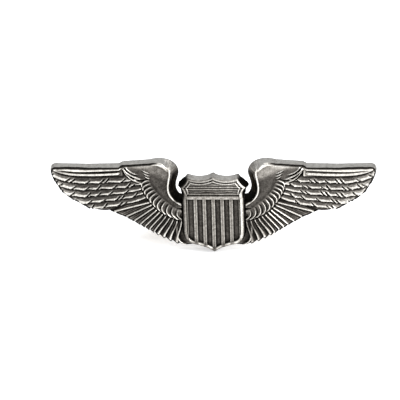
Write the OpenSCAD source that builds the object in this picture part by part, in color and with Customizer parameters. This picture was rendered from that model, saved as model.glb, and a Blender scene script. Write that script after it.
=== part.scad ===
// Pilot wings badge: a struck wing plate, a shield seated in its middle, three soldered posts
// and three butterfly clutches that close on them behind the cloth.
// +Z is up as worn, the face looks towards -Y and the posts point along +Y into the cloth.
// The origin is on the centre post's axis, in the plane where the cloth lies against the pads.

/* [Wings] */
// Distance between the two wing tips
wing_span = 76.2; // [74:0.1:80]
// Thickness at the wing's edge, from its flat back to the tops of the feathers
wing_thickness = 2.6; // [2.4:0.1:3]
// Depth of the dark gaps between feathers
feather_relief = 0.8; // [0.4:0.1:1]
// Width of the gap between two neighbouring feathers
feather_gap = 0.22; // [0.15:0.01:0.3]
// Number of long feather rows below the leading edge
feather_rows = 5; // [5:1:5]
// Length of one feather step along a row
step_length = 3.4; // [3:0.1:4.5]
// Number of short feathers that fan out below the scales
fan_feathers = 11; // [9:1:12]
// Number of overlapping scales between the shoulder and the feathers
scales = 10; // [8:1:11]

/* [Shield] */
// Width across the shield's straight sides
shield_width = 14; // [13.6:0.1:14.2]
// Thickness of the shield, from its back to its rim
shield_thickness = 2.3; // [2.2:0.1:2.6]
// Width of the raised rim
rim_width = 0.7; // [0.5:0.05:0.8]
// Depth of the field inside the rim
field_depth = 0.5; // [0.3:0.05:0.6]
// Number of upright stripes
stripes = 5; // [5:1:5]
// Width of one upright stripe
stripe_width = 0.87; // [0.6:0.01:1]

/* [Posts] */
// Distance from the centre post to each side post
post_spacing = 14; // [13:0.5:15]
// Diameter of the stretch that passes through the cloth
shank_diameter = 1.4; // [1.4:0.05:1.5]
// Length of the stretch that passes through the cloth
shank_length = 2.4; // [2.2:0.1:2.6]
// Diameter of the root that is riveted into the pad
root_diameter = 1.8; // [1.8:0.05:2]
// Diameter of the thinner stretch that the clutch runs on
post_diameter = 1; // [0.95:0.01:1]
// Reach of the post behind its pad
post_length = 7.2; // [7:0.1:7.3]
// Diameter of the pad that is soldered to the badge
pad_diameter = 4.8; // [4:0.1:5]
// Thickness of that pad
pad_thickness = 0.5; // [0.4:0.1:0.6]

/* [Clutches] */
// Outside diameter of the clutch
clutch_diameter = 11.2; // [10.8:0.1:11.4]
// Thickness of the clutch's sheet brass
sheet = 0.35; // [0.3:0.01:0.4]
// Gap between the clutch's hole or jaws and the post, on the radius
post_clearance = 0.07; // [0.06:0.01:0.09]
// Width of one ear
ear_width = 4.4; // [4:0.1:4.6]

/* [Hidden] */
$fn = 48;
wing_back = pad_thickness;
wing_face = wing_back + wing_thickness;
wing_floor = wing_face - feather_relief;
web_face = wing_back + 1.2;
shield_face = web_face + shield_thickness;
shield_floor = shield_face - field_depth;
flange_face = web_face + 0.8;
flange_width = 0.4;
stretch = wing_span / 76.2;
clutch_seat = shank_length + 0.6;
clutch_radius = clutch_diameter / 2;
cap_radius = 4.05;
cap_top = post_length + 0.4;
groove_start = clutch_seat + 1.75;
groove_end = groove_start + 0.7;
jaw_level = (groove_start + groove_end) / 2;

// A point on the cubic curve from a to d that leaves along a-b and arrives along c-d.
function on_curve(a, b, c, d, t) =
    pow(1 - t, 3) * a + 3 * t * pow(1 - t, 2) * b + 3 * t * t * (1 - t) * c + pow(t, 3) * d;

// The same curve as a run of points.
function curve(a, b, c, d, count = 6) = [for (i = [0 : count]) on_curve(a, b, c, d, i / count)];

// The line along which the scales lie, from the coverts down to the shield.
function scale_line(t) = on_curve([16.4, 8.7], [16.3, 4.5], [13, -0.7], [7.4, -1.5], t);

// The line of the fan feathers' tips, from the long feathers down to the shield.
function tip_line(t) = on_curve([25.5, 1.3], [20.5, 0.6], [14.5, -5], [7.2, -7.6], t);

// The lower edge of long feather row k, at distance u from the middle; row 0 is the upper limit.
function row_edge(k, u) =
    9.7 + 0.024 * pow(max(0, 22 - u), 2) - k * (1.73 - 0.031 * max(0, 30 - u));

// Where each long feather row ends, out towards the wing tip.
row_ends = [37.4, 36.7, 35.3, 33.2, 30.4];
row_start = 16.4;

// Extrudes an outline of the front view from one distance in front of the cloth to another.
module raised(low, high) {
    rotate([90, 0, 0])
        translate([0, 0, low])
            linear_extrude(high - low)
                children();
}

// Draws the right wing's outline at the chosen span.
module wing_raised(low, high) {
    raised(low, high)
        scale([stretch, 1])
            children();
}

// A copy of the right-hand shape on each side.
module both_sides() {
    children();
    mirror([1, 0, 0])
        children();
}

// A straight feather that widens from its root to a rounded tip.
module feather(root, tip, root_width, tip_width) {
    along = tip - root;
    radius = tip_width / 2;
    translate(root)
        rotate(atan2(along[1], along[0]))
            polygon(concat(
                [[0, -root_width / 2]],
                [for (a = [-90 : 30 : 90]) [norm(along) - radius + radius * cos(a), radius * sin(a)]],
                [[0, root_width / 2]]
            ));
}

// One wing's plate, up to the floor of the gaps between the feathers.
module wing_outline() {
    inner_edge = curve([8, 4.65], [9.6, 6.6], [8.4, 8.2], [8.03, 10.15]);
    dome = curve([8.03, 10.15], [8.1, 13], [11, 14.6], [14.8, 13.45]);
    tip = curve([36.6, 12.4], [38.6, 12.4], [38.3, 10.4], [37, 9]);
    long_feathers = curve([37, 9], [35.8, 3.6], [32.5, 2.1], [28, 1.5]);
    fan = curve([28, 1.5], [20.5, 0.8], [15.5, -4.6], [7, -7.7]);
    polygon(concat(inner_edge, dome, [[21, 12.9], [21.8, 12.4]], tip, long_feathers, fan, [[5, -7.7], [5, 4]]));
}

// The two smooth bands along the leading edge.
module leading_bands() {
    polygon(concat([[22, 11.35], [22, 12.4]], curve([36.4, 12.4], [38.5, 12.4], [38.1, 10.6], [36.6, 11])));
    polygon(concat([[22, 10.15], [22, 11.1]], curve([34.5, 10.95], [36.6, 10.7], [38.3, 10.3], [37.2, 9.4]), [[34, 9.95]]));
}

// Step i of the steps in long feather row k, with its lower corner drawn out towards the tip.
module feather_step(k, i, steps) {
    lean = 0.7;
    pitch = (row_ends[k - 1] - row_start) / steps;
    start = row_start + i * pitch + feather_gap / 2;
    end = row_start + (i + 1) * pitch - feather_gap / 2;
    low = row_edge(k, start) + feather_gap / 2;
    high = row_edge(k - 1, start) - feather_gap / 2;
    end_low = row_edge(k, end) + feather_gap / 2;
    end_high = row_edge(k - 1, end) - feather_gap / 2;
    radius = (end_high - end_low) / 2;
    rounded = [for (a = [-90 : 30 : 90])
        [end - radius + radius * cos(a), end_low + radius + radius * sin(a)]];
    slanted = [[end + lean, end_low], [end, end_high]];
    inner_end = i == 0 ? [[start, high], [start, low]] : [[start, high], [start + lean, low]];
    polygon(concat(inner_end, i == steps - 1 ? rounded : slanted));
}

// The long feathers below the bands.
module long_feathers() {
    for (k = [1 : feather_rows]) {
        steps = round((row_ends[k - 1] - row_start) / step_length);
        for (i = [0 : steps - 1])
            wing_raised(wing_floor - 0.3, wing_face - 0.08 * (k % 2))
                feather_step(k, i, steps);
    }
}

// The short feathers that fan out from the scales to the lower edge.
module fan() {
    for (i = [0 : fan_feathers - 1]) {
        s = i / (fan_feathers - 1);
        wing_raised(wing_back, wing_face - 0.2 - 0.1 * (i % 2))
            feather(scale_line(0.36 + 0.6 * s), tip_line(s), 0.7, 1.75 - 0.25 * s);
    }
}

// The overlapping scales, each a little lower than the one above it.
module scale_row() {
    for (i = [0 : scales - 1]) {
        centre = scale_line((i + 0.5) / scales) + [-0.55, 0.75];
        wing_raised(wing_floor - 0.3, wing_face - 0.1 - 0.02 * i)
            translate(centre)
                circle(1.25);
    }
}

// The smooth shoulder and the polished ridge round its top and inner edge.
module shoulder() {
    outer = curve([15.4, 9.8], [15.2, 5.6], [12.6, 1], [7.4, -0.4]);
    inner = curve([8.4, 5], [9.8, 6.8], [8.6, 8.4], [8.4, 10.2]);
    top = curve([8.4, 10.2], [8.6, 12.8], [11, 14], [14.6, 13.1]);
    wing_raised(wing_floor - 0.3, wing_face - 0.3)
        polygon(concat(outer, inner, top));
    wing_raised(wing_floor - 0.3, wing_face)
        polygon(concat(
            curve([8.4, 5], [9.8, 6.8], [8.6, 8.4], [8.4, 10.2]),
            curve([8.4, 10.2], [8.6, 12.8], [10.8, 13.6], [12.8, 13.3]),
            curve([12.8, 12.9], [10.8, 12.8], [9.5, 12.4], [9.4, 10.2]),
            curve([9.4, 10.2], [9.6, 8.4], [10.4, 6.8], [9.2, 4.4])
        ));
}

// The long curved coverts between the leading edge and the scales.
module coverts() {
    for (i = [0 : 2]) {
        start = [20.6 - 1.7 * i, 11.9];
        end = [15.4, 8.9 + 1.1 * i];
        bend = [19 - 1.2 * i, 9.8 + 0.6 * i];
        wing_raised(wing_floor - 0.3, wing_face - 0.05 * i)
            polygon(concat(
                curve(start, bend, bend, end),
                curve(end + [0, 0.7], bend + [-0.5, 0.5], bend + [-0.5, 0.5], start - [0.9, 0])
            ));
    }
}

// The shield's face outline, grown outwards by a margin at its sides.
module shield_outline(margin) {
    side = shield_width / 2 + margin;
    half = concat(
        [[0, 10.37]],
        curve([3.3, 9.32], [4.1, 9.1], [5, 9.4], [5.8, 9.98], 4),
        curve([5.8 + margin / 2, 9.98], [6.2 + margin, 8.9], [6.8 + margin, 8.1], [7.55 + margin, 7.6], 4),
        curve([7.55 + margin, 7.6], [6.6 + margin, 6.9], [6.5 + margin, 5.8], [side, 4.6], 4),
        curve([side, -3.6], [side, -6.4], [5.6, -7.2 - margin], [4, -7.3 - margin]),
        [[1.6, -8.1 - margin]]
    );
    polygon(concat(
        half,
        [[0, -9.1 - margin]],
        [for (i = [len(half) - 1 : -1 : 1]) [-half[i][0], half[i][1]]]
    ));
}

// The field inside the rim: a small panel above the bar and a tall one below it.
module shield_field() {
    inside = shield_width / 2 - rim_width;
    upper = concat(
        [[0, 9.5]],
        curve([3.3, 8.5], [4, 8.3], [5, 8.6], [5.5, 8.8], 3),
        [[6.3, 7.6], [inside - 0.3, 6.6], [inside - 0.2, 5.4]]
    );
    polygon(concat(upper, [for (i = [len(upper) - 1 : -1 : 1]) [-upper[i][0], upper[i][1]]]));
    lower = concat(
        [[inside, 4.6], [inside, -4]],
        curve([inside, -4], [inside, -5.6], [5.2, -6.5], [4, -6.6], 4),
        [[1.6, -7.3], [0, -8.2]]
    );
    polygon(concat(lower, [for (i = [len(lower) - 2 : -1 : 0]) [-lower[i][0], lower[i][1]]]));
}

// Turns a shape that is drawn round the Z axis so that it runs along the posts.
module along_post(x) {
    translate([x, 0, 0])
        rotate([-90, 0, 0])
            children();
}

module wings() {
    color([0.62, 0.6, 0.57])
        difference() {
            union() {
                both_sides() {
                    wing_raised(wing_back, wing_floor)
                        wing_outline();
                    wing_raised(wing_floor - 0.3, wing_face)
                        leading_bands();
                    long_feathers();
                    fan();
                    scale_row();
                    shoulder();
                    coverts();
                }
                // The thin web that joins the two wings behind the shield.
                raised(wing_back, web_face)
                    translate([-6, -7.7])
                        square([12, 12]);
            }
            // The seat that the shield drops into.
            raised(web_face, shield_face + 1)
                shield_outline(flange_width + 0.02);
        }
}

module shield() {
    pitch = (shield_width - 2 * rim_width) / (stripes + 1);
    color([0.66, 0.64, 0.6])
        union() {
            raised(web_face, flange_face)
                shield_outline(flange_width);
            difference() {
                raised(flange_face, shield_face)
                    shield_outline(0);
                raised(shield_floor, shield_face + 1)
                    shield_field();
            }
            // The upright stripes.
            for (i = [0 : stripes - 1])
                raised(shield_floor - 0.2, shield_face - 0.1)
                    translate([(i - (stripes - 1) / 2) * pitch - stripe_width / 2, -6.7])
                        square([stripe_width, 11.4]);
            // The fine lines across the upper panel.
            for (i = [0 : 4])
                raised(shield_floor - 0.2, shield_floor + 0.2)
                    translate([-6.1, 5.7 + 0.58 * i])
                        square([12.2, 0.25]);
        }
}

// The round pad that is soldered to the back of the badge.
module pad(x) {
    radius = pad_diameter / 2;
    hole = root_diameter / 2;
    bevel = pad_thickness / 2;
    color([0.72, 0.7, 0.66])
        along_post(x)
            rotate_extrude()
                polygon([
                    [hole, -pad_thickness],
                    [radius, -pad_thickness],
                    [radius, -bevel],
                    [radius - bevel, 0],
                    [hole, 0]
                ]);
}

// The post: riveted root, cloth shank, clutch stretch with a groove, and a sharp end.
module post(x) {
    root = root_diameter / 2;
    shank = shank_diameter / 2;
    thin = post_diameter / 2;
    groove = thin - 0.12;
    color([0.78, 0.68, 0.42])
        along_post(x)
            rotate_extrude()
                polygon([
                    [0, -pad_thickness],
                    [root, -pad_thickness],
                    [root, 0],
                    [shank, 0],
                    [shank, shank_length],
                    [thin, shank_length + 0.2],
                    [thin, groove_start],
                    [groove, groove_start + 0.12],
                    [groove, groove_end - 0.12],
                    [thin, groove_end],
                    [thin, post_length - 0.9],
                    [0.1, post_length],
                    [0, post_length]
                ]);
}

// The cup that presses on the cloth, with its rolled rim.
module clutch_cup(x) {
    hole = post_diameter / 2 + post_clearance;
    rim = clutch_radius - sheet;
    color([0.8, 0.7, 0.42])
        along_post(x)
            rotate_extrude()
                polygon([
                    [hole, clutch_seat],
                    [rim, clutch_seat],
                    [clutch_radius, clutch_seat + sheet],
                    [clutch_radius, clutch_seat + 1.2],
                    [rim, clutch_seat + 1.2],
                    [rim, clutch_seat + sheet + 0.1],
                    [rim - 0.1, clutch_seat + sheet],
                    [hole, clutch_seat + sheet]
                ]);
}

// The cap that encloses the jaws, with a window on each side for the ears.
module clutch_cap(x, turn) {
    seat = clutch_seat + sheet;
    inside = cap_radius - sheet;
    flange = clutch_radius - sheet - 0.1;
    color([0.8, 0.7, 0.42])
        difference() {
            along_post(x)
                rotate_extrude()
                    polygon([
                        [inside, seat],
                        [flange, seat],
                        [flange, seat + sheet],
                        [cap_radius, seat + sheet],
                        [cap_radius, cap_top - 0.3],
                        [cap_radius - 0.6, cap_top + sheet],
                        [0, cap_top + sheet],
                        [0, cap_top],
                        [inside - 0.5, cap_top],
                        [inside, cap_top - 0.4]
                    ]);
            translate([x, jaw_level + 0.3, 0])
                rotate([0, turn, 0])
                    translate([-cap_radius - 1, 0, -ear_width / 2 - 0.4])
                        cube([2 * cap_radius + 2, 1.7, ear_width + 0.8]);
        }
}

// A bent strip of sheet, as seen from its side.
module bent_sheet(points) {
    for (i = [0 : len(points) - 2]) {
        step = points[i + 1] - points[i];
        translate(points[i])
            rotate(atan2(step[1], step[0]))
                translate([0, -sheet / 2])
                    square([norm(step), sheet]);
    }
    for (i = [1 : len(points) - 2])
        translate(points[i])
            circle(sheet / 2);
}

// One lever of a clutch, pointing right: a notched jaw in the post's groove and an ear to squeeze.
module lever_shape() {
    difference() {
        intersection() {
            linear_extrude(ear_width, center = true)
                bent_sheet([
                    [0.2, jaw_level],
                    [1.6, jaw_level],
                    [2.5, jaw_level + 0.95],
                    [4.1, jaw_level + 1.15],
                    [6.3, jaw_level + 3.3]
                ]);
            rotate([-90, 0, 0])
                linear_extrude(20)
                    union() {
                        translate([0, -1.4])
                            square([4, 2.8]);
                        translate([3.4, -ear_width / 2])
                            square([1.2, ear_width]);
                        translate([4.5, 0])
                            circle(ear_width / 2);
                    }
        }
        rotate([-90, 0, 0])
            cylinder(h = 20, r = post_diameter / 2 + post_clearance);
    }
}

// The lever in its place on the clutch; turn = 0 points it right, -90 up, 180 left and 90 down.
module lever(x, turn) {
    color([0.8, 0.7, 0.42])
        translate([x, 0, 0])
            rotate([0, turn, 0])
                lever_shape();
}

wings();
shield();

pad(-post_spacing);  // left_pad
post(-post_spacing);  // left_post
clutch_cup(-post_spacing);  // left_clutch_cup
clutch_cap(-post_spacing, 90);  // left_clutch_cap
lever(-post_spacing, -90);  // left_clutch_upper_lever
lever(-post_spacing, 90);  // left_clutch_lower_lever

pad(0);  // centre_pad
post(0);  // centre_post
clutch_cup(0);  // centre_clutch_cup
clutch_cap(0, 0);  // centre_clutch_cap
lever(0, 180);  // centre_clutch_left_lever
lever(0, 0);  // centre_clutch_right_lever

pad(post_spacing);  // right_pad
post(post_spacing);  // right_post
clutch_cup(post_spacing);  // right_clutch_cup
clutch_cap(post_spacing, 90);  // right_clutch_cap
lever(post_spacing, -90);  // right_clutch_upper_lever
lever(post_spacing, 90);  // right_clutch_lower_lever
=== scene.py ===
"""Pilot wings badge.

The two struck parts are relief meshes and the clutches are pressed sheet. The posts and pads keep their
CAD shapes and get new materials.
"""

import math

import bmesh
import bpy
import numpy as np
from mathutils import Euler, Matrix, Vector


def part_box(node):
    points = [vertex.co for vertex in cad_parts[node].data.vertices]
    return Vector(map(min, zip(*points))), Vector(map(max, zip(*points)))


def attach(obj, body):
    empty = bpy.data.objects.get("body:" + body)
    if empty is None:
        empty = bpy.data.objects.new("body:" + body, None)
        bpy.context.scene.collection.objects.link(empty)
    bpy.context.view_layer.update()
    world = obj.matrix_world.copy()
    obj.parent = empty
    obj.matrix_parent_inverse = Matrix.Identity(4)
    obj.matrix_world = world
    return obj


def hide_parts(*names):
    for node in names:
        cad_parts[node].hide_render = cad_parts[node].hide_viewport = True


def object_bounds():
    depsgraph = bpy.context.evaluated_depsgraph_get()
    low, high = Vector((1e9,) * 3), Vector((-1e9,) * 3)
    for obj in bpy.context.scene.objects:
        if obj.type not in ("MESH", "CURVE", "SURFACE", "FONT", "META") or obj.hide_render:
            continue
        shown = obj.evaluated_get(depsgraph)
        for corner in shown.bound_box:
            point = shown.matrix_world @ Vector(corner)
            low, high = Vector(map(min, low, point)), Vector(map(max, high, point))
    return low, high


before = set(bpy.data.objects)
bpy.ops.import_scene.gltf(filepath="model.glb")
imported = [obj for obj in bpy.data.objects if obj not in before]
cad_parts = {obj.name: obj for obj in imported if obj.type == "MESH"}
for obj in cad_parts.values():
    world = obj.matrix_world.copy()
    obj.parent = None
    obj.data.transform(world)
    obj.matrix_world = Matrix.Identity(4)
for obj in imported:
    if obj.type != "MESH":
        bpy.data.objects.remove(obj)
cad_low, cad_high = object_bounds()

MM = 0.001

# ---------------------------------------------------------------- sizes, in mm

wings_low, wings_high = (np.array(c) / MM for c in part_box("wings"))
shield_low, shield_high = (np.array(c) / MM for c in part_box("shield"))

WING_BACK = wings_high[1]  # y of the plate's flat back
SHIELD_BACK = shield_high[1]  # y of the web that the shield sits on
PLATE = WING_BACK - wings_low[1]  # full thickness of a wing
WEB = WING_BACK - SHIELD_BACK  # thickness of the web behind the shield
SHIELD = SHIELD_BACK - shield_low[1]  # full thickness of the shield
DRAWN_HALF_SPAN = 38.04  # of the wing outline below, before it is fitted to the CAD wings
GRID = 0.1  # spacing of the relief's grid
WINGS_BOTTOM = -8.6  # lower end of the wings' grid
WINGS_TOP = 14.3  # upper end of the wings' grid

GAP_FLOOR = PLATE - 0.85  # height of the dark gaps between the feathers
ROWS = 5  # long feather rows below the leading edge
ROWS_START = 15  # distance from the middle at which those rows start
SCALES = 10  # scales between the shoulder and the feathers
# The edges of the fan's feathers, as places along the line of their tips; the first lies on the last long row
FAN_PLACES = [-0.05, 0.13, 0.3, 0.41, 0.49, 0.55, 0.61, 0.67, 0.73, 0.8, 0.87, 0.94]

SHIELD_FLOOR = SHIELD - 0.55  # height of the field between the stripes
SHIELD_FOOT = 0.4  # the plate is left flat this far beyond the shield's face
STRIPE_PITCH = 2.08  # from the middle of one upright stripe to the next
PANEL_FOOT = 5  # level of the bar between the stripes and the lined panel
PANEL_PITCH = 0.6  # of the lines in that panel

SHEET = 0.35  # thickness of the clutches' sheet brass
RING = 96  # steps round a clutch
WINDOW_HALF_ANGLE = 39  # of the openings in the caps, in degrees
WINDOW_LEVEL = 3.25  # middle of those openings above the clutch's seat
WINDOW_HALF_HEIGHT = 0.85
WINDOW_INNER_RADIUS = 3.5  # only the cap's side is cut, not its top
JAW_HALF_WIDTH = 1.4
EAR_HALF_WIDTH = 2.2
EAR_ROUNDS_FROM = 4.7  # distance from the post at which the ear's rounded end starts
EAR_ROUNDING = 1.56  # length of that rounded end
POST_HOLE = 0.6  # radius of the notch that each lever's jaw leaves for the post
CLUTCHES = {"left": ("upper", "lower"), "centre": ("left", "right"), "right": ("upper", "lower")}
LEVER_TURNS = {"right": 0, "lower": 90, "left": 180, "upper": -90}  # degrees about the post

# ---------------------------------------------------------------- polish and painted light and shade, from 0, black, to 1, bright

MIDDLE_TONE = 0.27
DARKEST_TONE = 0.07  # of the struck faces
BRIGHTEST_TONE = 0.66
WALL_TONE = 0.31
# painted light: walls that face up are lighter
UPWARD_WALL_PAINTED_LIGHT = 0.32  # added where a wall faces up
BACK_TONE = 0.35
# painted shade: black on walls in the bend beside the shield and below the shield's top corners
PAINTED_SHADE_TONE = 0.02
SEAT_TONE = 0.1  # of the plate under the shield
RIGHT_PAINTED_LIGHT_LIFT = 0.06  # painted light: the right wing is a little brighter


# ---------------------------------------------------------------- curves


def bezier(a, b, c, d, t):
    """The points at t on the cubic curve from a to d that leaves along a-b and arrives along c-d."""
    a, b, c, d = (np.array(p, float) for p in (a, b, c, d))
    t = np.asarray(t, float)[..., None]
    return (1 - t) ** 3 * a + 3 * t * (1 - t) ** 2 * b + 3 * t * t * (1 - t) * c + t**3 * d


def curve(a, b, c, d, count=10):
    """The same curve as a run of points."""
    return bezier(a, b, c, d, np.linspace(0, 1, count + 1))


def scallops(points, bulge):
    """A run through the points, each stretch bowing out to the left of its direction."""
    run = []
    for a, b in zip(points[:-1], points[1:], strict=True):
        a, b = np.array(a, float), np.array(b, float)
        across = np.array([a[1] - b[1], b[0] - a[0]]) * bulge
        run.extend(curve(a, a + (b - a) * 0.2 + across, b - (b - a) * 0.2 + across, b, 5)[:-1])
    return [*run, np.array(points[-1], float)]


def outline_of(*runs):
    """One closed outline from several runs of points, without repeated points."""
    kept = []
    for p in np.concatenate([np.atleast_2d(np.array(run, float)) for run in runs]):
        if not kept or np.hypot(*(p - kept[-1])) > 1e-6:
            kept.append(p)
    return np.array(kept)


def nearest(points, line, closed=False):
    """Each point's distance to a line, its place along it from 0 to 1, and its side (+1 is left)."""
    ends = np.roll(line, -1, axis=0) if closed else line[1:]
    starts = line if closed else line[:-1]
    lengths = np.hypot(*(ends - starts).T)
    reached = np.concatenate([[0], np.cumsum(lengths)])
    best = np.full(len(points), 1e9)
    along = np.zeros(len(points))
    side = np.ones(len(points))
    for i, (a, b) in enumerate(zip(starts, ends, strict=True)):
        d = b - a
        t = np.clip(((points - a) @ d) / (d @ d), 0, 1)
        off = points - (a + t[:, None] * d)
        dist = np.hypot(off[:, 0], off[:, 1])
        nearer = dist < best
        best = np.where(nearer, dist, best)
        along = np.where(nearer, (reached[i] + t * lengths[i]) / reached[-1], along)
        cross = d[0] * (points[:, 1] - a[1]) - d[1] * (points[:, 0] - a[0])
        side = np.where(nearer, np.where(cross >= 0, 1, -1), side)
    return best, along, side


def depth_inside(points, outline):
    """Distance to a closed outline, positive inside it."""
    dist, _, _ = nearest(points, outline, closed=True)
    inside = np.zeros(len(points), bool)
    for a, b in zip(outline, np.roll(outline, -1, axis=0), strict=True):
        crosses = (a[1] > points[:, 1]) != (b[1] > points[:, 1])
        rise = b[1] - a[1]
        meets = a[0] + (points[:, 1] - a[1]) * (b[0] - a[0]) / (rise if rise else 1)
        inside ^= crosses & (points[:, 0] < meets)
    return np.where(inside, dist, -dist)


def smooth(x, low, high):
    """0 up to low, 1 from high on, and an S-curve between them."""
    t = np.clip((x - low) / (high - low), 0, 1)
    return t * t * (3 - 2 * t)


def blurred(values, cells):
    """Values averaged twice over a square of that many cells on each side."""
    out = values
    for _ in range(2):
        for axis in (0, 1):
            pad = [(0, 0), (0, 0)]
            pad[axis] = (cells + 1, cells)
            total = np.cumsum(np.pad(out, pad, mode="edge"), axis=axis)
            total = np.moveaxis(total, axis, 0)
            width = 2 * cells + 1
            out = np.moveaxis((total[width:] - total[:-width]) / width, 0, axis)
    return out


def linked(name, data):
    """A new object in the scene with that mesh, light or camera."""
    thing = bpy.data.objects.new(name, data)
    bpy.context.scene.collection.objects.link(thing)
    return thing


# ---------------------------------------------------------------- relief


class Relief:
    """Heights over a grid of the front view, to which ridges and grooves are added one by one."""

    def __init__(self, us, zs, level):
        self.us, self.zs = us, zs
        self.u, self.z = np.meshgrid(us, zs, indexing="ij")
        self.h = np.full(self.u.shape, float(level))
        self.polish_and_painted_light = np.zeros(self.u.shape)

    def points(self):
        return np.stack([self.u.ravel(), self.z.ravel()], axis=1)

    def around(self, line, margin):
        """The part of the grid near a line, with each point's distance, place along it and side."""
        low, high = line.min(0) - margin, line.max(0) + margin
        where = (
            slice(*np.searchsorted(self.us, [low[0], high[0]])),
            slice(*np.searchsorted(self.zs, [low[1], high[1]])),
        )
        points = np.stack([self.u[where].ravel(), self.z[where].ravel()], axis=1)
        return where, *(a.reshape(self.u[where].shape) for a in nearest(points, line))

    def ridge(self, line, half_width, top, taper=(0.15, 0.15), polish_and_painted_light=0):
        """A rounded ridge along a line that rises to a height and thins out over a share of each end."""
        where, dist, along, _ = self.around(line, half_width * 1.2)
        thin = np.clip(np.minimum(along / taper[0], (1 - along) / taper[1]), 0, 1)
        width = half_width * (0.3 + 0.7 * np.sqrt(thin))
        shape = np.sqrt(np.clip(1 - (dist / width) ** 2, 0, 1)) * (0.3 + 0.7 * thin)
        self.h[where] += np.clip(top - self.h[where], 0, None) * shape
        self.polish_and_painted_light[where] += polish_and_painted_light * shape

    def groove(self, line, half_width, depth, taper=(0.2, 0.2)):
        """A V-shaped cut along a line that fades over a share of each end."""
        where, dist, along, _ = self.around(line, half_width * 1.2)
        fade = np.clip(np.minimum(along / taper[0], (1 - along) / taper[1]), 0, 1)
        self.h[where] -= depth * np.clip(1 - dist / half_width, 0, 1) * fade


def tone_of(relief):
    """How brightly each point is polished, plus painted light and shade: what stands above its surroundings
    is bright.
    """
    above_near = relief.h - blurred(relief.h, 3)
    above_wide = relief.h - blurred(relief.h, 9)
    tone = MIDDLE_TONE + 1.1 * above_near + 0.55 * above_wide + relief.polish_and_painted_light
    return np.clip(tone, DARKEST_TONE, BRIGHTEST_TONE)


def wall_tone(upward, dark):
    """A wall's tone: painted light where it faces up, and painted shade, black, where dark is 1."""
    return (WALL_TONE + UPWARD_WALL_PAINTED_LIGHT * np.clip(upward, 0, 1)) * (1 - dark) + PAINTED_SHADE_TONE * dark


def clipped_face(relief, tone, depth, back_y):
    """The relief's surface where depth is above 0: its points, their tones, its faces and its rim."""
    us, zs, height = relief.us, relief.zs, relief.h
    solid = depth > 0
    verts, tones, index, faces, rim = [], [], {}, [], []

    def corner(i, j):
        if (i, j) not in index:
            index[i, j] = len(verts)
            verts.append((us[i], back_y - height[i, j], zs[j]))
            tones.append(tone[i, j])
        return index[i, j]

    def crossing(a, b):
        key = (*min(a, b), *max(a, b))
        if key not in index:
            a, b = key[:2], key[2:]
            t = depth[a] / (depth[a] - depth[b])
            index[key] = len(verts)
            verts.append((
                us[a[0]] + t * (us[b[0]] - us[a[0]]),
                back_y - height[a] - t * (height[b] - height[a]),
                zs[a[1]] + t * (zs[b[1]] - zs[a[1]]),
            ))
            tones.append(tone[a] + t * (tone[b] - tone[a]))
        return index[key]

    count = solid[:-1, :-1].astype(int) + solid[1:, :-1] + solid[1:, 1:] + solid[:-1, 1:]
    for i, j in np.argwhere(count > 0):
        i, j = int(i), int(j)
        around = [(i, j), (i + 1, j), (i + 1, j + 1), (i, j + 1)]
        if count[i, j] == 4:
            faces.append([corner(*c) for c in around])
            continue
        face, leaving = [], []
        for a, b in zip(around, around[1:] + around[:1], strict=True):
            if solid[a]:
                face.append(corner(*a))
            if solid[a] != solid[b]:
                if solid[a]:
                    leaving.append(len(face))
                face.append(crossing(a, b))
        faces.append(face)
        for place in leaving:
            rim.append((face[place], face[(place + 1) % len(face)]))
    return verts, tones, faces, rim


def add_wall(verts, tones, faces, rim, depth_of, lean_of, wall_of, back_y):
    """Adds the wall that curves out from the rim to the back, in a few rings of points."""
    levels = [0.1, 0.35, 0.65, 0.9, 1]
    step = 0.03
    edge = sorted({v for pair in rim for v in pair})
    spots = np.array([[verts[v][0], verts[v][2]] for v in edge])
    slope = np.stack([
        depth_of(spots + [step, 0]) - depth_of(spots - [step, 0]),
        depth_of(spots + [0, step]) - depth_of(spots - [0, step]),
    ], axis=1)
    reach = -slope / (np.hypot(*slope.T)[:, None] + 1e-9) * lean_of(spots)[:, None]
    walls = wall_of(spots, reach[:, 1] / np.hypot(*reach.T))
    rings = {v: [v] for v in edge}
    for v, spot, out, wall in zip(edge, spots, reach, walls, strict=True):
        top = verts[v][1]
        for level in levels:
            share = level**0.85
            rings[v].append(len(verts))
            x, z = spot + out * share
            verts.append((x, top + (back_y - top) * level, z))
            tones.append(BACK_TONE if level == 1 else wall)
    for a, b in rim:
        for k in range(len(levels)):
            faces.append([rings[a][k], rings[a][k + 1], rings[b][k + 1], rings[b][k]])


def relief_mesh(name, relief, tone, depth_of, lean_of, wall_of, back_y):
    """A closed mesh: the relief inside an outline, a wall that leans out to the back, and a flat back.

    Heights are measured forward from back_y. depth_of(points) is the depth inside the back's outline,
    lean_of(points) how far the face stands back from it, and wall_of(points, upward) the wall's tone, with
    its painted light and shade.
    """
    snap = 0.012  # a grid point this near the face's outline counts as inside it
    points = relief.points()
    depth = (depth_of(points) - lean_of(points)).reshape(relief.h.shape)
    depth[np.abs(depth) < snap] = snap
    verts, tones, faces, rim = clipped_face(relief, tone, depth, back_y)
    add_wall(verts, tones, faces, rim, depth_of, lean_of, wall_of, back_y)

    mesh = bpy.data.meshes.new(name)
    mesh.from_pydata([tuple(c * MM for c in v) for v in verts], [], faces)
    mesh.attributes.new("tone", "FLOAT", "POINT").data.foreach_set("value", np.array(tones, np.float32))
    shape = bmesh.new()
    shape.from_mesh(mesh)
    open_edges = [e for e in shape.edges if e.is_boundary]
    back = bmesh.ops.triangle_fill(shape, edges=open_edges, use_beauty=True)
    bmesh.ops.recalc_face_normals(shape, faces=shape.faces)
    for f in shape.faces:
        f.smooth = True
    for f in back["geom"]:
        if isinstance(f, bmesh.types.BMFace):
            f.smooth = False
    shape.to_mesh(mesh)
    shape.free()
    return linked(name, mesh)


# ---------------------------------------------------------------- the wings' lines


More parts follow.
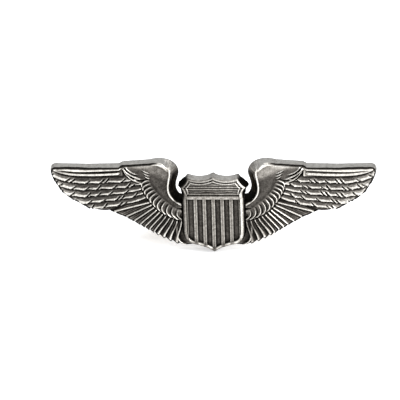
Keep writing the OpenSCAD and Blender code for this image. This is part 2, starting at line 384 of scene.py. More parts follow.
def scale_line(t):
    """The line on which the scales end, from the coverts down to the shield."""
    return bezier([16.6, 7.3], [15.9, 4.6], [13, -0.3], [7.4, -1.5], t)


def shoulder_line(t):
    """The line on which the scales begin, along the smooth shoulder."""
    return bezier([14.9, 9.1], [13.9, 6.2], [12, 4.2], [8.8, 1.6], t)


def tip_line(t):
    """The line of the fan feathers' tips, from the long feathers down to the shield."""
    return bezier([26, 1.1], [20.5, 0.4], [15, -6.2], [6.8, -8.5], t)


def row_edge(k, u):
    """The lower edge of long feather row k at distance u from the middle; row 0 is the upper limit."""
    inner_rise = 0.024 * np.maximum(0, 22 - u) ** 2
    outer_rise = 0.032 * np.maximum(0, u - 30) ** 2
    pitch = 1.77 - 0.033 * np.maximum(0, 30 - u)
    return 9.95 + inner_rise + outer_rise - k * pitch


def wing_outline():
    """The right wing's outline at its back, closed past the middle so that both wings join."""
    notches = [(37.85, 10), (36.75, 7.75), (35.2, 5.35), (32, 3), (28.3, 1.05), (24.5, 0.6)]
    return outline_of(
        curve([8, 4.65], [9.6, 6.6], [8.4, 8.2], [8.03, 10.15]),
        curve([8.03, 10.15], [8.1, 12.95], [11, 14.55], [14.8, 13.45]),
        [[18, 13.2], [20.9, 13], [21.9, 12.45], [29, 12.3]],
        curve([36, 12.45], [37.6, 12.8], [38.4, 11.5], [37.85, 10]),
        scallops(notches, 0.09),
        scallops([tip_line(t) for t in [*FAN_PLACES[1:], 1]], 0.1),
        [[5, -8.3], [-3, -8.3], [-3, 4], [5, 4]],
    )


WING_OUTLINE = wing_outline() * [wings_high[0] / DRAWN_HALF_SPAN, 1]


def wing_depth(points):
    """Depth inside the outline of both wings and their web."""
    return depth_inside(np.abs(points * [1, 0]) + points * [0, 1], WING_OUTLINE)


def wing_lean(points):
    """The wall leans out a little, and slopes widely round the inner edge of the shoulder."""
    u, z = np.abs(points[:, 0]), points[:, 1]
    return 0.26 + 1.2 * (1 - smooth(u, 10.3, 12.2)) * smooth(z, 0.8, 2.4)


def wing_wall(points, upward):
    """Painted light where the wall faces up, painted shade, black, in the deep bend beside the shield."""
    u, z = np.abs(points[:, 0]), points[:, 1]
    # painted shade in the bend, where the wall does not face up or lies low
    bend = (1 - smooth(u, 10.6, 11.8)) * smooth(z, 1, 3)
    dark = bend * np.maximum(1 - smooth(upward, -0.1, 0.5), 1 - smooth(z, 5, 7))
    return wall_tone(upward, dark)


# ---------------------------------------------------------------- the wings' relief


def slit_places(k, rng):
    """The places along long feather row k at which slits cut it, some of them in pairs."""
    places = [15.5 + 1.3 * (k % 2)]
    while places[-1] < 38:
        may_pair = len(places) > 1 and places[-1] - places[-2] > 2
        paired = may_pair and rng.random() < 0.35
        places.append(places[-1] + (1.1 if paired else rng.uniform(2.3, 3.9)))
    return places


def add_slit(relief, k, place, rng):
    """A slanted slit up from the lower edge of row k, with the lifted edge of the next barb beside it."""
    pitch = row_edge(k - 1, place) - row_edge(k, place)
    low = np.array([place + 0.95, row_edge(k, place + 0.95) + 0.02])
    high = np.array([place - 0.3, row_edge(k, place) + pitch * rng.uniform(0.4, 0.75)])
    slit = curve(low, low + [-0.5, 0.1], high + [0.3, -0.3], high, 5)
    relief.ridge(slit + [0.26, 0.02], 0.2, PLATE - 0.05, (0.05, 0.9))
    relief.groove(slit - [0.05, 0], 0.24, 0.85, (0.02, 0.45))


def add_long_feathers(relief, rng, painted_light_lift):
    """Rows of long feathers: each rises towards a crest at its lower edge and is cut by slanted slits."""
    u, z = relief.u, relief.z
    for k in range(1, ROWS + 1):
        top, bottom = row_edge(k - 1, u), row_edge(k, u)
        t = (top - z) / (top - bottom)
        places = slit_places(k, rng)
        index = np.clip(np.searchsorted(places, u) - 1, 0, len(places) - 2)
        starts, ends = np.array(places)[index], np.array(places)[index + 1]
        q = np.clip((u - starts) / (ends - starts), 0, 1)
        level = rng.uniform(0.75, 1, len(places))[index]
        t = t - 0.09 * (1 - q) * (t < 0.97) + 0.03
        shape = np.interp(t, [0, 0.1, 0.3, 0.6, 0.76, 0.92, 1], [0, 0.06, 0.36, 0.52, 1, 0.95, 0])
        crest = smooth(t, 0.55, 0.78) * (1 - smooth(t, 0.92, 1))
        barbs = 0.06 * np.sin(t * 24 + 3 * np.sin(u * 1.7 + k))
        shape = shape + barbs - crest * 0.3 * smooth(q, 0.35, 1) * (1 - 0.8 * smooth(u, 30, 35))
        inside = (z <= top) & (z >= bottom) & (u > ROWS_START)
        height = GAP_FLOOR + (PLATE - GAP_FLOOR - 0.03) * shape * level
        relief.h[inside] = height[inside]
        # painted highlight, brighter towards the ends of the rows at the wing tips
        tips = smooth(u - 1.1 * (ROWS - k), 27, 30)
        relief.polish_and_painted_light[inside] = (0.04 * crest + 0.16 * tips * smooth(t, 0.15, 0.5) + 0.02 + painted_light_lift)[inside]
        for place in places[1:]:
            add_slit(relief, k, place, rng)


def fan_edges():
    """The edges between the fan's feathers, from the scales' ends to the tips."""
    edges = []
    for n, t in enumerate(FAN_PLACES):
        root = scale_line(0.36 + 0.64 * n / (len(FAN_PLACES) - 1))
        tip = np.array([28, row_edge(ROWS, 28)]) if t < 0 else tip_line(t)
        sag = np.array([1.1, -0.1]) * smooth(n, 3, 9)
        lean = root * 0.3 + tip * 0.7 + sag
        edges.append(curve(root, root * 0.65 + tip * 0.35 - sag * 0.2, lean, tip * 1.08 - root * 0.08, 6))
    return edges


def add_fan(relief, rng, painted_light_lift):
    """Short feathers that fan out below the scales, each with its crest on the side of the shield."""
    roots = scale_line(np.linspace(0.3, 1, 12))
    beyond_tips = tip_line(np.linspace(1, 0, 14)) + [0.4, -1.2]
    band = outline_of(roots, [[3, -1.6], [3, -9]], beyond_tips)
    inside = (depth_inside(relief.points(), band) > 0).reshape(relief.h.shape)
    spots = np.stack([relief.u[inside], relief.z[inside]], axis=1)
    signed = []
    for line in fan_edges():
        dist, _, side = nearest(spots, line)
        signed.append(dist * side)
    reach, _, _ = nearest(spots, roots)
    height = np.full(len(spots), GAP_FLOOR + 0.1)
    polish_and_painted_light = np.zeros(len(spots))
    for n, (before, after) in enumerate(zip(signed[:-1], signed[1:], strict=True)):
        between = (before < 0) & (after >= 0)
        width = after - before
        t = np.where(between, -before / (width + 1e-9), 0)
        from_crest = np.where(between, after, 9)
        body = np.interp(t, [0, 0.12, 0.35, 1], [0, 0.05, 0.35, 0.5])
        fat = 0.26 + 0.24 * smooth(reach, 1.5, 5.5) * (n > 6)
        crest = np.interp(from_crest / fat, [0, 0.2, 0.6, 1.2, 1.7], [0, 0.85, 1, 0.8, 0])
        waves = np.cos((from_crest - 0.3) * 2 * np.pi / 0.44)
        vein = 0.16 * waves * smooth(t, 0.1, 0.3) * rng.uniform(0.4, 1)
        shape = np.maximum(body + vein, crest) * rng.uniform(0.86, 1)
        height = np.where(between, GAP_FLOOR + (PLATE - GAP_FLOOR - 0.06) * shape, height)
        dimmed = smooth(n, 3, 6) * (0.22 + 2 * painted_light_lift - 0.14 * smooth(reach, 2, 5))
        polish_and_painted_light = np.where(between, crest * (0.06 + painted_light_lift - dimmed), polish_and_painted_light)
    relief.h[inside] = height
    relief.polish_and_painted_light[inside] = polish_and_painted_light
    innermost = curve([8.5, -1.9], [9, -3.6], [8.9, -5.5], [7.9, -7.2])
    relief.ridge(innermost, 0.3, PLATE - 0.3, (0.3, 0.2))
    tucked_tip = curve([8.6, -5.7], [8.5, -6.7], [7.9, -7.4], [6.4, -7.9])
    relief.ridge(tucked_tip, 0.22, PLATE - 0.1, (0.3, 0.2), 0.05)


def scale_edge(s):
    """The raised outer edge of the scale at place s, an arc down from the shoulder to the scales' ends."""
    start, end = shoulder_line(s), scale_line(s)
    size = np.hypot(*(end - start)) * 0.5
    leave, arrive = np.radians(-15 - 42 * s), np.radians(-103 - 50 * s)
    return curve(
        start,
        start + size * np.array([np.cos(leave), np.sin(leave)]),
        end - size * np.array([np.cos(arrive), np.sin(arrive)]),
        end,
        9,
    )


def add_scales(relief):
    """Overlapping scales with raised outer edges and fine lines across each."""
    band = outline_of(
        shoulder_line(np.linspace(0, 1, 10)),
        [[6, 0.6], [5, -1.7]],
        scale_line(np.linspace(1, 0, 12)) + [0.1, -0.1],
        scale_edge(0)[:0:-1],
    )
    inside = (depth_inside(relief.points(), band) > 0).reshape(relief.h.shape)
    relief.h[inside] = GAP_FLOOR + 0.46
    relief.polish_and_painted_light[inside] = 0.06
    for i in range(SCALES + 2):
        s = i / (SCALES - 0.5)
        relief.groove(scale_edge(s - 0.03), 0.13, 0.34, (0.15, 0.05))
        relief.groove(scale_edge(s + 0.055), 0.08, 0.16, (0.3, 0.2))
        relief.ridge(scale_edge(s), 0.15, PLATE - 0.05, (0.35, 0.04), 0.04 - 0.12 * smooth(s, 0.4, 0.9))
    relief.groove(scale_line(np.linspace(0, 1, 12)) + [0.2, -0.22], 0.16, 0.5, (0.02, 0.02))


def add_shoulder(relief, painted_light_lift):
    """The smooth shoulder, the mottled slope above it, brightened as painted light, and the polished ridge
    round its inner edge.
    """
    shoulder = outline_of(
        shoulder_line(np.linspace(0, 1, 10)),
        [[7, 1.8], [6, 5], [6, 12], [8, 16], [15, 16], [22.4, 14], [20.6, 12.3]],
        curve([20.6, 12.3], [19.8, 10.6], [17.6, 9.6], [16, 8.9]),
    )
    depth = depth_inside(relief.points(), shoulder).reshape(relief.h.shape)
    inside = depth > 0
    relief.h[inside] = (PLATE - 0.42 + 0.12 * smooth(depth, 0, 1.2))[inside]
    # painted light: the upper slope of the shoulder is brighter, more so on the right wing
    slope = smooth(relief.z - 0.45 * (relief.u - 14), 9.6, 11.6)
    relief.polish_and_painted_light[inside] = (-0.01 + painted_light_lift / 2 + (0.14 + painted_light_lift) * slope)[inside]
    inner = outline_of(
        curve([15.6, 12.95], [13.6, 13.9], [11.4, 13.6], [10.35, 12.3]),
        curve([10.35, 12.3], [9.4, 10.9], [10.6, 9], [10.5, 6.9]),
        curve([10.5, 6.9], [10.5, 4.8], [9.3, 3.7], [7.2, 2.5]),
    )
    relief.ridge(inner, 0.25, PLATE, (0.3, 0.02), 0.2)
    # painted highlight along the top of the dome
    dome = curve([14.2, 13.2], [12.6, 13.8], [11.3, 13.3], [10.4, 11.4])
    relief.ridge(dome, 0.75, PLATE, (0.5, 0.5), 0.22)


def add_coverts(relief):
    """Long curved coverts that sweep from the leading edge down to the scales."""
    for start, bend, end, width in [
        ([21.2, 12.3], [19.9, 9.3], [16.6, 8.2], 0.17),
        ([20.9, 12.3], [20, 10.3], [16.5, 9.2], 0.22),
        ([20.3, 12.5], [19.4, 10.9], [17.2, 10.45], 0.13),
    ]:
        bend = np.array(bend)
        sweep = curve(start, bend * 0.6 + np.array(start) * 0.4, bend * 0.8 + np.array(end) * 0.2, end)
        relief.groove(sweep + [0.2, -0.24], 0.28, 0.5, (0.1, 0.3))
        relief.ridge(sweep, width, PLATE, (0.1, 0.3), 0.1)
    for n in range(3):
        start = np.array([16.5 - 0.3 * n, 11.75 - 0.8 * n])
        end = start + [-1.9 + 0.3 * n, -1 + 0.15 * n]
        stroke = curve(start, start + [-0.5, -0.4], start + [-1.2, -0.8], end, 5)
        relief.groove(stroke + [0.05, -0.22], 0.18, 0.3)
        relief.ridge(stroke, 0.13, PLATE - 0.02, (0.3, 0.3), 0.1)


def add_bands(relief, painted_light_lift):
    """Two smooth bands along the leading edge that run together at the rounded tip."""
    u, z = relief.u, relief.z
    strip = (u > 21) & (z > row_edge(0, u) - 0.02)
    relief.h[strip] = (GAP_FLOOR + 0.16 + 3 * painted_light_lift + (0.36 - 3 * painted_light_lift) * smooth(u, 34.3, 36.2))[strip]
    relief.polish_and_painted_light[strip] = (0.07 + 2 * painted_light_lift + 0.07 * smooth(u, 34.3, 36.2))[strip]
    upper = outline_of([[21.3, 12]], curve([26, 11.75], [31, 11.5], [35, 11.6], [36.9, 12]))
    lower = outline_of([[21.6, 10.75]], curve([26, 10.5], [31, 10.35], [34.6, 10.6], [36.9, 11.5]))
    relief.ridge(upper, 0.48, PLATE, (0.03, 0.3), -0.04)
    relief.ridge(lower, 0.38, PLATE - 0.02, (0.03, 0.25), -0.04)
    relief.groove(upper + [0, -0.12], 0.1, 0.08, (0.3, 0.3))
    relief.polish_and_painted_light[strip] -= (0.14 * smooth(u, 34, 36.5))[strip]


# The last argument is painted light that brightens one wing; the left wing gets 0.
def wing_side(us, zs, rng, painted_light_lift):
    """The relief of one wing over the half of the front view from the middle to the tip."""
    relief = Relief(us, zs, GAP_FLOOR)
    add_long_feathers(relief, rng, painted_light_lift)
    add_fan(relief, rng, painted_light_lift)
    add_shoulder(relief, painted_light_lift)
    add_scales(relief)
    add_coverts(relief)
    add_bands(relief, painted_light_lift)
    points = relief.points()
    depth = (wing_depth(points) - wing_lean(points)).reshape(relief.h.shape)
    bend = (1 - smooth(relief.u, 11.4, 14.6)) * smooth(relief.z, 1.5, 3)
    relief.h -= (0.5 - 0.4 * bend) * np.clip(1 - depth / 0.5, 0, 1) ** 2
    # painted shade along the face's edge, strongest on the lower edges, left out in the bend beside the
    # shield
    lower = 1 - smooth(relief.z, 9.5, 11)
    edge_painted_shade = 1 - smooth(depth, 0.1 + 0.16 * lower, 0.42 + 0.16 * lower)
    relief.polish_and_painted_light -= (0.6 + 0.7 * lower) * edge_painted_shade * (1 - bend)
    relief.h = blurred(relief.h, 1) * 0.35 + relief.h * 0.65
    return relief


# ---------------------------------------------------------------- the shield


def shield_outline():
    """The shield's face outline."""
    half = outline_of(
        [[0, 10.37]],
        curve([0.2, 10.2], [1.2, 9.5], [3.6, 9], [5.8, 9.98], 8),
        curve([5.8, 9.98], [6.1, 8.9], [6.8, 8.1], [7.55, 7.6], 4),
        curve([7.55, 7.6], [6.7, 6.9], [6.6, 5.9], [7, 4.8], 5),
        curve([7, -3.6], [7, -6.4], [5.6, -7.1], [4, -7.3], 8),
        [[1.6, -8.1]],
    )
    return outline_of(half, [[0, -9.1]], (half * [-1, 1])[:0:-1])


SHIELD_OUTLINE = shield_outline()


def shield_depth(points):
    """Depth inside the outline of the shield's foot, which stands out from its face."""
    return depth_inside(points, SHIELD_OUTLINE) + shield_lean(points)


def shield_lean(points):
    """The wall stands out a little all round, and widely below the two top corners."""
    u, z = np.abs(points[:, 0]), points[:, 1]
    return 0.3 + 0.5 * smooth(u, 5.6, 6.6) * smooth(z, 4.6, 6)


def shield_wall(points, upward):
    """Painted light along the top edge, where the wall faces up, and painted shade, black, below the two top
    corners.
    """
    u, z = np.abs(points[:, 0]), points[:, 1]
    return wall_tone(upward, smooth(u, 5.7, 6.1) * smooth(z, 4.6, 6))


def shield_relief():
    """Rim, lined upper panel, bar and upright stripes."""
    step = GRID * 0.8
    relief = Relief(np.arange(-8.3, 8.3, step), np.arange(-9.7, 10.8, step), SHIELD_FLOOR)
    u, z = np.abs(relief.u), relief.z
    depth = depth_inside(relief.points(), SHIELD_OUTLINE).reshape(u.shape)
    rise = SHIELD - SHIELD_FLOOR

    from_stripe = np.abs((relief.u + STRIPE_PITCH / 2) % STRIPE_PITCH - STRIPE_PITCH / 2)
    stripes = (rise - 0.08) * (1 - smooth(from_stripe, 0.36, 0.48))
    beside_rim = 0.38 * (1 - smooth(np.abs(u - 6.05), 0.08, 0.2))
    field = np.where(u > 2.5 * STRIPE_PITCH, beside_rim, stripes)
    lines = 0.5 + 0.5 * np.cos((z - 5.9 + 0.02 * np.sin(relief.u * 1.3)) * 2 * np.pi / PANEL_PITCH)
    height = np.where(z > PANEL_FOOT, 0.12 + 0.24 * lines, field)
    bar = 1 - smooth(np.abs(z - PANEL_FOOT), 0.3, 0.4)
    height = np.maximum(height, (rise - 0.05) * bar)
    inner_rim = (1 - smooth(np.abs(depth - 0.95), 0.08, 0.18)) * smooth(z, 5.4, 6)
    height = np.maximum(height, (rise - 0.08) * inner_rim)
    width = 0.66 - 0.3 * smooth(z, 5.6, 7)
    rim = 1 - smooth(depth, width, width + 0.12)
    relief.h = SHIELD_FLOOR + np.maximum(height, rise * rim)
    relief.h -= 0.22 * np.clip(1 - depth / 0.4, 0, 1) ** 2

    relief.polish_and_painted_light = 0.08 + 0.02 * rim + 0.02 * inner_rim
    relief.polish_and_painted_light -= 0.1 * (field > 0.2) * (z < 4.6)
    # painted light from the right: the rim is brighter on the right and darker on the left, and the lined
    # panel brighter towards the right
    relief.polish_and_painted_light += 0.1 * smooth(relief.u, 2, 7) * rim
    relief.polish_and_painted_light -= 0.1 * (1 - smooth(relief.u, -6.6, -3)) * rim
    relief.polish_and_painted_light += 0.07 * smooth(relief.u, -3, 5) * (z > 5.5)
    return relief


# ---------------------------------------------------------------- the clutches


def skins(line):
    """The two faces of a strip of sheet that runs along a line."""
    along = np.gradient(line, axis=0)
    across = np.stack([-along[:, 1], along[:, 0]], axis=1) / np.hypot(*along.T)[:, None]
    return line + across * SHEET / 2, line - across * SHEET / 2


def pressed_sheet(name, faces_mm, solid):
    """A thin part from its two faces, as grids of points that share rows and columns.

    Only the solid cells are kept. With as many columns of cells as of points, the sheet closes round.
    """
    rows, columns = faces_mm[0].shape[:2]
    wraps = solid.shape[1] == columns
    verts = np.concatenate([face.reshape(-1, 3) for face in faces_mm]) * MM
    faces = []

    def number(side, spot):
        return side * rows * columns + spot[0] * columns + spot[1] % columns

    def is_solid(i, j):
        j = j % columns if wraps else j
        return 0 <= i < solid.shape[0] and 0 <= j < solid.shape[1] and solid[i, j]

    for i, j in np.argwhere(solid):
        i, j = int(i), int(j)
        corners = [(i, j), (i + 1, j), (i + 1, j + 1), (i, j + 1)]
        faces.append([number(0, c) for c in corners])
        faces.append([number(1, c) for c in reversed(corners)])
        neighbours = [(i, j - 1), (i + 1, j), (i, j + 1), (i - 1, j)]
        for c, d, beside in zip(corners, corners[1:] + corners[:1], neighbours, strict=True):
            if not is_solid(*beside):
                faces.append([number(0, d), number(0, c), number(1, c), number(1, d)])

    mesh = bpy.data.meshes.new(name)
    mesh.from_pydata(verts.tolist(), [], faces)
    shape = bmesh.new()
    shape.from_mesh(mesh)
    bmesh.ops.delete(shape, geom=[v for v in shape.verts if not v.link_faces], context="VERTS")
    bmesh.ops.remove_doubles(shape, verts=shape.verts, dist=1e-7)
    bmesh.ops.recalc_face_normals(shape, faces=shape.faces)
    for f in shape.faces:
        f.smooth = True
    shape.to_mesh(mesh)
    shape.free()
    mesh.set_sharp_from_angle(angle=math.radians(48))
    return linked(name, mesh)


def turned(line, centre):
    """The two faces of a strip of sheet spun round a post: line holds radius and y."""
    angles = np.arange(RING) * 2 * np.pi / RING
    faces = []
    for skin in skins(line):
        radius, y = np.clip(skin[:, :1], 0, None), skin[:, 1:]
        faces.append(np.stack([
            centre[0] + radius * np.cos(angles),
            y + 0 * angles,
            centre[1] + radius * np.sin(angles),
        ], axis=2))
    return faces


def clutch_cup(name, centre, seat):
    """The cup that presses on the cloth: raised round the hole and crimped over the cap's flange."""
    line = outline_of(
        [[0.72, 0.42], [1.4, 0.42], [2.2, 0.42]],
        curve([2.2, 0.42], [2.6, 0.42], [2.6, 0.175], [3, 0.175], 6),
        [[3.8, 0.175]],
        curve([4.9, 0.175], [5.25, 0.175], [5.425, 0.3], [5.425, 0.6], 6),
        curve([5.425, 0.75], [5.425, 1.06], [5.2, 1.1], [4.98, 0.95], 7),
    )
    return pressed_sheet(name, turned(line + [0, seat], centre), np.ones((len(line) - 1, RING), bool))


def clutch_cap(name, centre, seat, turn):
    """The cap over the jaws, with a rounded shoulder, a pressed ring and a window for each ear."""
    line = outline_of(
        [[5.1, 0.525], [4.6, 0.525]],
        curve([4.5, 0.525], [4.1, 0.525], [3.92, 0.7], [3.9, 1], 6),
        np.linspace([3.9, 1.2], [3.87, 4], 20),
        curve([3.87, 4.1], [3.85, 4.5], [3.6, 4.74], [3.1, 4.77], 8),
        curve([2.7, 4.77], [2.4, 4.77], [2.3, 4.62], [2, 4.62], 6),
        curve([1.8, 4.62], [1.2, 4.62], [0.8, 4.77], [0, 4.77], 6),
    )
    middle = (line[1:] + line[:-1]) / 2
    angles = (np.arange(RING) + 0.5) * 360 / RING
    from_window = np.abs((angles - turn + 90) % 180 - 90)
    across = from_window / WINDOW_HALF_ANGLE
    along = (middle[:, 1:] - WINDOW_LEVEL) / WINDOW_HALF_HEIGHT
    window = (across < 1) & (np.abs(along) < 1) & (middle[:, :1] > WINDOW_INNER_RADIUS)
    return pressed_sheet(name, turned(line + [0, seat], centre), ~window)


def clutch_lever(name, centre, seat, turn):
    """One lever: a notched jaw in the post's groove and a rounded ear that sweeps up to be squeezed."""
    line = outline_of(
        np.linspace([0.2, 2.1], [1.3, 2.1], 6),
        curve([1.3, 2.1], [1.85, 2.1], [2.05, 2.8], [2.6, 3.06], 7),
        curve([2.6, 3.06], [3.1, 3.25], [3.6, 3.18], [4.2, 3.32], 7),
        curve([4.2, 3.32], [4.8, 3.55], [5.4, 4.5], [6.22, 5.3], 12),
    )
    reach = line[:, 0]
    rounded = np.clip(reach - EAR_ROUNDS_FROM, 0, None) / EAR_ROUNDING
    ear = EAR_HALF_WIDTH * np.sqrt(np.clip(1 - rounded**2, 0, 1))
    neck = JAW_HALF_WIDTH + (EAR_HALF_WIDTH - JAW_HALF_WIDTH) * smooth(reach, 3.3, 4.2)
    half_width = np.where(reach < EAR_ROUNDS_FROM, neck, ear)
    sideways = half_width[:, None] * np.linspace(-1, 1, 19)
    dish = 0.05 * sideways**2 * smooth(reach, 4, 5.2)[:, None]
    cosine, sine = math.cos(math.radians(turn)), math.sin(math.radians(turn))
    faces = []
    for skin in skins(line):
        x, y = skin[:, :1], skin[:, 1:] + seat - dish
        faces.append(np.stack([
            centre[0] + x * cosine + sideways * sine,
            y,
            centre[1] - x * sine + sideways * cosine,
        ], axis=2))
    spots = (sideways[1:, 1:] + sideways[:-1, :-1]) / 2
    clear_of_post = np.hypot(spots, (reach[1:, None] + reach[:-1, None]) / 2) > POST_HOLE
    return pressed_sheet(name, faces, clear_of_post)


# ---------------------------------------------------------------- materials


def node_material(name):
    """A new material with its node tree, its shader and a helper that adds nodes to it."""
    material = bpy.data.materials.new(name)
    material.use_nodes = True
    tree = material.node_tree
    shader = tree.nodes["Principled BSDF"]

    def add(kind, **settings):
        node = tree.nodes.new(kind)
        for key, value in settings.items():
            if key in node.inputs:
                node.inputs[key].default_value = value
            else:
                setattr(node, key, value)
        return node

    return material, tree, shader, add


def colour_ramp(add, stops):
    """A colour ramp through the stops, each of them a position and a colour."""
    node = add("ShaderNodeValToRGB")
    ramp = node.color_ramp.elements
    while len(ramp) < len(stops):
        ramp.new(0.5)
    for element, (position, rgb) in zip(ramp, stops, strict=True):
        element.position = position
        element.color = (*rgb, 1)
    return node


def silver(name):
    """Antique silver: black oxide in the recesses, satin slopes and polished high points, plus the painted
    light and shade in the tone attribute.
    """
    material, tree, shader, add = node_material(name)
    link = tree.links.new
    place = add("ShaderNodeTexCoord")
    tone = add("ShaderNodeAttribute", attribute_name="tone")
    blotches = add("ShaderNodeTexNoise", Scale=1300, Detail=4, Roughness=0.6)
    grain = add("ShaderNodeTexNoise", Scale=4200, Detail=3, Roughness=0.65)
    for texture in (blotches, grain):
        link(place.outputs["Object"], texture.inputs["Vector"])
    wear_and_painted_light = tone.outputs["Fac"]
    for texture, amount in [(blotches, 0.24), (grain, 0.34)]:
        added = add("ShaderNodeMath", operation="MULTIPLY_ADD")
        added.inputs[1].default_value = amount
        link(texture.outputs["Fac"], added.inputs[0])
        link(wear_and_painted_light, added.inputs[2])
        wear_and_painted_light = added.outputs["Value"]
    colour = colour_ramp(add, [
        (0.32, (0.006, 0.0054, 0.0046)),
        (0.5, (0.03, 0.027, 0.0235)),
        (0.66, (0.105, 0.096, 0.086)),
        (0.82, (0.33, 0.31, 0.28)),
        (1, (0.88, 0.85, 0.79)),
    ])
    link(wear_and_painted_light, colour.inputs["Fac"])
    link(colour.outputs["Color"], shader.inputs["Base Color"])
    gloss = add("ShaderNodeMapRange", **{"From Min": 0.35, "From Max": 1, "To Min": 0.55, "To Max": 0.24})
    link(wear_and_painted_light, gloss.inputs["Value"])
    link(gloss.outputs["Result"], shader.inputs["Roughness"])
    shader.inputs["Metallic"].default_value = 1
    bump = add("ShaderNodeBump", Strength=0.35, Distance=0.00004)
    link(grain.outputs["Fac"], bump.inputs["Height"])
    link(bump.outputs["Normal"], shader.inputs["Normal"])
    return material


def brass(name, dark, bright, roughness, stretch):
    """Thin drawn or stamped metal with fine draw lines and slight tarnish."""
    material, tree, shader, add = node_material(name)
    link = tree.links.new
    place = add("ShaderNodeTexCoord")
    squeeze = add("ShaderNodeMapping", Scale=stretch)
    link(place.outputs["Object"], squeeze.inputs["Vector"])
    lines = add("ShaderNodeTexNoise", Scale=1500, Detail=3, Roughness=0.6)
    link(squeeze.outputs["Vector"], lines.inputs["Vector"])
    tarnish = add("ShaderNodeTexNoise", Scale=620, Detail=6, Roughness=0.7)
    link(place.outputs["Object"], tarnish.inputs["Vector"])
    colour = colour_ramp(add, [(0.28, dark), (0.66, bright)])
    link(tarnish.outputs["Fac"], colour.inputs["Fac"])
    link(colour.outputs["Color"], shader.inputs["Base Color"])
    dulled = {"From Min": 0.3, "From Max": 0.7, "To Min": roughness + 0.14, "To Max": roughness}
    gloss = add("ShaderNodeMapRange", **dulled)
    link(tarnish.outputs["Fac"], gloss.inputs["Value"])
    link(gloss.outputs["Result"], shader.inputs["Roughness"])
    shader.inputs["Metallic"].default_value = 1
    bump = add("ShaderNodeBump", Strength=0.2, Distance=0.00003)
    link(lines.outputs["Fac"], bump.inputs["Height"])
    link(bump.outputs["Normal"], shader.inputs["Normal"])
    return material


# ---------------------------------------------------------------- the wings and the shield in place

half_us = np.concatenate([np.arange(0, 5.5, 0.5), np.arange(5.5, 38.5, GRID)])  # coarse behind the shield
wing_zs = np.arange(WINGS_BOTTOM, WINGS_TOP, GRID)
right = wing_side(half_us, wing_zs, np.random.default_rng(11), RIGHT_PAINTED_LIGHT_LIFT)
left = wing_side(half_us, wing_zs, np.random.default_rng(4), 0)

wings_face = Relief(np.concatenate([-half_us[:0:-1], half_us]), wing_zs, 0)
wings_face.h = np.concatenate([left.h[:0:-1], right.h])
wings_face.polish_and_painted_light = np.concatenate([left.polish_and_painted_light[:0:-1], right.polish_and_painted_light])
wings_tone = tone_of(wings_face)
shield_over = depth_inside(wings_face.points(), SHIELD_OUTLINE).reshape(wings_face.h.shape)
covered = (shield_over > -SHIELD_FOOT) | (np.abs(wings_face.u) < 5)
wings_face.h[covered] = WEB
wings_tone[covered] = SEAT_TONE

wings = relief_mesh("wings_relief", wings_face, wings_tone, wing_depth, wing_lean, wing_wall, WING_BACK)
wings.data.materials.append(silver("antique_silver_wings"))
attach(wings, "badge")
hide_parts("wings")

shield_face = shield_relief()
shield_tone = tone_of(shield_face)
shield = relief_mesh(
    "shield_relief", shield_face, shield_tone, shield_depth, shield_lean, shield_wall, SHIELD_BACK
)
shield.data.materials.append(silver("antique_silver_shield"))
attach(shield, "badge")
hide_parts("shield")

# ---------------------------------------------------------------- the posts and clutches in place

solder = brass("solder_plate", (0.3, 0.29, 0.27), (0.62, 0.6, 0.56), 0.42, (1, 1, 1))
post_brass = brass("post_brass", (0.42, 0.29, 0.12), (0.7, 0.52, 0.25), 0.26, (1, 0.1, 1))
clutch_brass = brass("clutch_brass", (0.43, 0.29, 0.11), (0.7, 0.51, 0.22), 0.22, (0.6, 3, 0.6))

for node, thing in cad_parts.items():
    if node.endswith(("_pad", "_post")):
        thing.data.materials.clear()
        thing.data.materials.append(solder if node.endswith("_pad") else post_brass)


def finish_clutch_part(piece, node, body):
    """Paints a clutch part and hangs it on its body in place of its CAD node."""
    piece.data.materials.append(clutch_brass)
    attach(piece, body)
    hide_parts(node)


for side, levers in CLUTCHES.items():
    body = f"{side}_clutch"
    cup_low, cup_high = (np.array(c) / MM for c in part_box(f"{body}_cup"))
    centre = (cup_low[[0, 2]] + cup_high[[0, 2]]) / 2
    seat = cup_low[1]
    cup = clutch_cup(f"{body}_pressed_cup", centre, seat)
    finish_clutch_part(cup, f"{body}_cup", body)
    cap = clutch_cap(f"{body}_domed_cap", centre, seat, LEVER_TURNS[levers[0]])
    finish_clutch_part(cap, f"{body}_cap", body)
    for lever in levers:
        node = f"{body}_{lever}_lever"
        ear = clutch_lever(f"{node}_ear", centre, seat, LEVER_TURNS[lever])
        finish_clutch_part(ear, node, node)

# ---------------------------------------------------------------- floor, light and camera

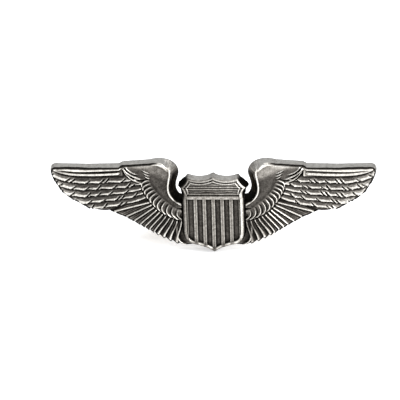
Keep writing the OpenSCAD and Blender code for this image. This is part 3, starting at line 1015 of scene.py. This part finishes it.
FLOOR_REACH = 1.5
FLOOR_GAP = 0.0002  # the floor lies this far below the shield's point
floor_corners = [(x * FLOOR_REACH, y * FLOOR_REACH, 0) for x, y in [(-1, -1), (1, -1), (1, 1), (-1, 1)]]
floor_mesh = bpy.data.meshes.new("floor")
floor_mesh.from_pydata(floor_corners, [], [(0, 1, 2, 3)])
floor = linked("floor", floor_mesh)
floor.location.z = cad_low.z - FLOOR_GAP
paper, _, paper_shader, _ = node_material("white_paper")
paper_shader.inputs["Base Color"].default_value = (0.93, 0.93, 0.93, 1)
paper_shader.inputs["Roughness"].default_value = 0.9
paper_shader.inputs["Emission Color"].default_value = (1, 1, 1, 1)
paper_shader.inputs["Emission Strength"].default_value = 0.46
floor_mesh.materials.append(paper)

VIEW_CENTRE = (-0.0031, -0.0031, 0.0041)


def area_light(name, place, size, power):
    """A square softbox at a place, turned towards the badge."""
    data = bpy.data.lights.new(name, "AREA")
    data.size = size
    data.energy = power
    lamp = linked(name, data)
    lamp.location = place
    lamp.rotation_euler = (Vector(VIEW_CENTRE) - Vector(place)).to_track_quat("-Z", "Y").to_euler()


area_light("overhead_softbox", place=(0.05, -0.2, 0.6), size=1, power=4.2)
area_light("right_softbox", place=(0.4, -0.25, 0.2), size=0.25, power=1.8)

world = bpy.data.worlds.new("studio")
world.use_nodes = True
sky = world.node_tree.nodes["Background"]
sky.inputs["Color"].default_value = (0.95, 0.97, 1, 1)
sky.inputs["Strength"].default_value = 0.6
bpy.context.scene.world = world
bpy.context.scene.view_settings.view_transform = "Standard"

elevation = math.radians(27)
turn = math.radians(4)
level = math.atan(math.tan(turn) * math.sin(elevation))  # rolls the camera so that the wings lie level
distance = 0.8
lens_data = bpy.data.cameras.new("camera")
lens_data.sensor_width = 36
lens_data.lens = 309.2
lens_data.clip_start = 0.01
camera = linked("camera", lens_data)
camera.location = (
    VIEW_CENTRE[0] + distance * math.cos(elevation) * math.sin(turn),
    VIEW_CENTRE[1] - distance * math.cos(elevation) * math.cos(turn),
    VIEW_CENTRE[2] + distance * math.sin(elevation),
)
aimed = Euler((math.pi / 2 - elevation, 0, turn)).to_matrix()
camera.rotation_euler = (aimed @ Matrix.Rotation(-level, 3, "Z")).to_euler()
bpy.context.scene.camera = camera
